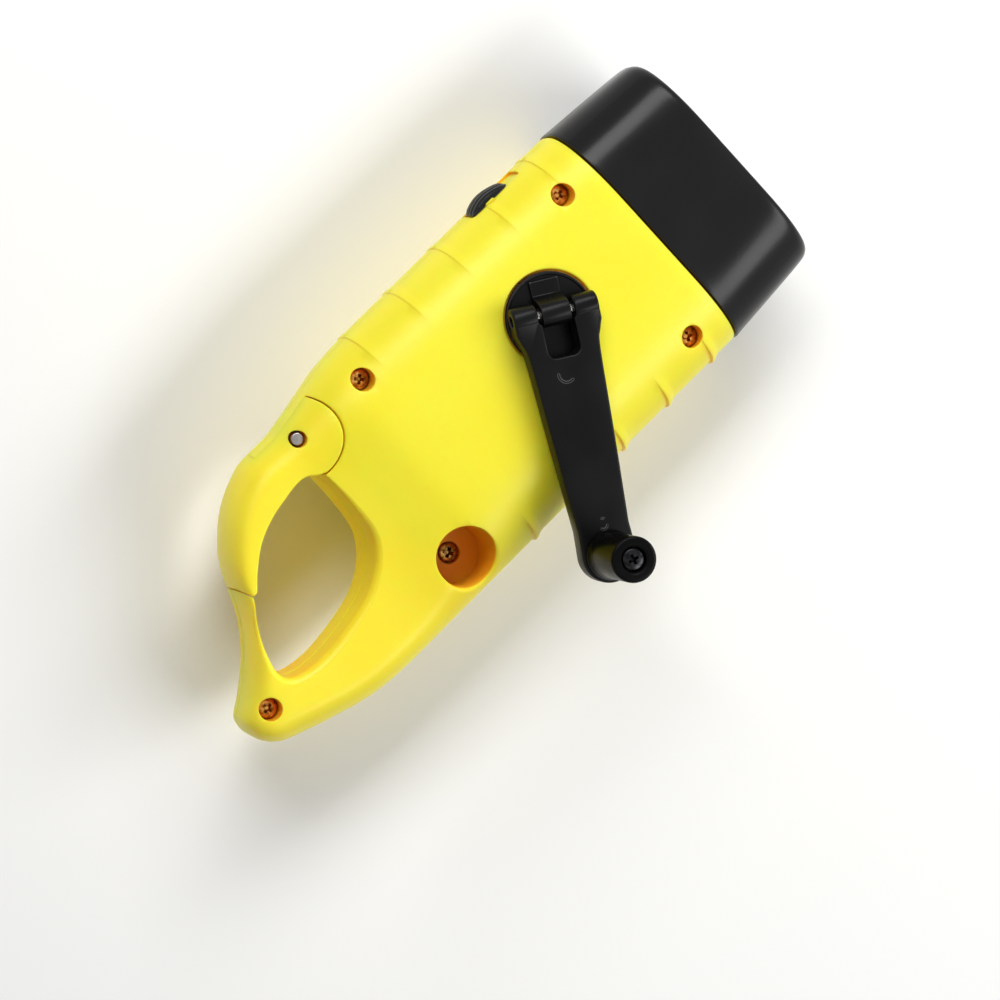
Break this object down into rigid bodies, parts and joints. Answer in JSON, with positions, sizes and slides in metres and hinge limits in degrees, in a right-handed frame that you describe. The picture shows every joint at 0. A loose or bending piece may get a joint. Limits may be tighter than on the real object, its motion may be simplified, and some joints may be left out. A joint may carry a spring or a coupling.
{
  "type": "hand crank flashlight",
  "caption": "Pocket dynamo flashlight with a fold-out crank, a barrel-shaped lamp bezel, a side slide switch, a solar window and a carabiner tail with a sprung gate.",
  "frame": {"origin": "on the flat solar face that the part rests on, on the body centre line, level with the crank axis", "axes": "+X along the body towards the lamp, +Y towards the side with the slide switch, +Z out of the crank face"},
  "size_m": [0.1499, 0.0724, 0.055],
  "materials": {
    "body_plastic": "yellow ABS, moulded with a fine satin gloss",
    "bezel_plastic": "black ABS, satin",
    "crank_plastic": "black ABS, satin, as moulded",
    "steel": "zinc plated steel",
    "screw_metal": "yellow passivated steel screws",
    "clear_plastic": "clear polycarbonate",
    "seal_rubber": "black rubber",
    "reflector_chrome": "vacuum metallised plastic",
    "lamp_resin": "clear epoxy with a pale phosphor",
    "board": "green solder mask",
    "battery_wrap": "blue shrink sleeve",
    "solar_silicon": "dark blue silicon",
    "lead_sleeve": "red PVC lead sleeve",
    "gear_nylon": "natural acetal",
    "magnet_ferrite": "dark ferrite",
    "copper": "enamelled copper wire"
  },
  "bodies": {
    "body": {"crank_side_shell": "body_plastic", "solar_side_shell": "body_plastic", "gate_pin": "steel", "gate_spring": "steel", "case_screw_front_left": "screw_metal", "case_screw_front_right": "screw_metal", "case_screw_rear": "screw_metal", "case_screw_tail": "screw_metal", "pocket_screw": "screw_metal", "bezel": "bezel_plastic", "lens": "clear_plastic", "lens_seal": "seal_rubber", "reflector": "reflector_chrome", "led_left": "lamp_resin", "led_center": "lamp_resin", "led_right": "lamp_resin", "led_board": "board", "main_board": "board", "battery_pack": "battery_wrap", "solar_window": "clear_plastic", "solar_cell": "solar_silicon", "switch_body": "steel", "battery_lead": "lead_sleeve", "generator_lead": "lead_sleeve", "led_lead": "lead_sleeve", "solar_lead": "lead_sleeve", "gear_plate": "gear_nylon", "plate_screw_rear": "steel", "plate_screw_side": "steel", "plate_screw_front": "steel", "gear_pin_1": "steel", "gear_pin_2": "steel", "stator_can": "steel", "stator_claws": "steel", "coil_bobbin": "gear_nylon", "coil_winding": "copper"},
    "hub": {"crank_hub": "crank_plastic", "crank_gear": "gear_nylon", "shaft_clip": "steel", "hinge_pin": "steel"},
    "arm": {"crank_arm": "crank_plastic", "knob_screw": "steel"},
    "knob_grip": {"knob": "crank_plastic"},
    "stage_1": {"compound_gear_1": "gear_nylon"},
    "stage_2": {"compound_gear_2": "gear_nylon"},
    "rotor": {"rotor_pinion": "gear_nylon", "magnet_rotor": "magnet_ferrite", "rotor_shaft": "steel"},
    "gate_lever": {"gate": "body_plastic"},
    "slider": {"switch_slider": "crank_plastic", "switch_lever": "crank_plastic"}
  },
  "joints": [
    {"name": "crank_spin", "type": "hinge", "parent": "body", "child": "hub", "pos_m": [0, 0.004, 0.033], "axis": [0, 0, 1], "continuous": true},
    {"name": "crank_fold", "type": "hinge", "parent": "hub", "child": "arm", "pos_m": [0.00051, 0.00486, 0.036], "axis": [-0.8599, 0.5105, 0], "range_deg": [0, 180]},
    {"name": "knob_spin", "type": "hinge", "parent": "arm", "child": "knob_grip", "pos_m": [-0.02451, -0.03727, 0.0383], "axis": [0, 0, 1], "continuous": true},
    {"name": "stage_1_spin", "type": "hinge", "parent": "body", "child": "stage_1", "pos_m": [-0.01379, -0.00757, 0.026], "axis": [0, 0, 1], "continuous": true},
    {"name": "stage_2_spin", "type": "hinge", "parent": "body", "child": "stage_2", "pos_m": [-0.02797, -0.00507, 0.022], "axis": [0, 0, 1], "continuous": true},
    {"name": "rotor_spin", "type": "hinge", "parent": "body", "child": "rotor", "pos_m": [-0.02077, 0.0074, 0.012], "axis": [0, 0, 1], "continuous": true},
    {"name": "gate_swing", "type": "hinge", "parent": "body", "child": "gate_lever", "pos_m": [-0.0526, 0.0213, 0.02], "axis": [0, 0, 1], "range_deg": [0, 25], "stiffness_Nm_per_rad": 0.05, "springref_deg": -20.05},
    {"name": "switch_slide", "type": "slide", "parent": "body", "child": "slider", "axis": [1, 0, 0], "range_m": [0, 0.003]}
  ],
  "couplings": [
    {"joint": "stage_1_spin", "follows": "crank_spin", "ratio": -3},
    {"joint": "stage_2_spin", "follows": "crank_spin", "ratio": 9},
    {"joint": "rotor_spin", "follows": "crank_spin", "ratio": -27}
  ]
}
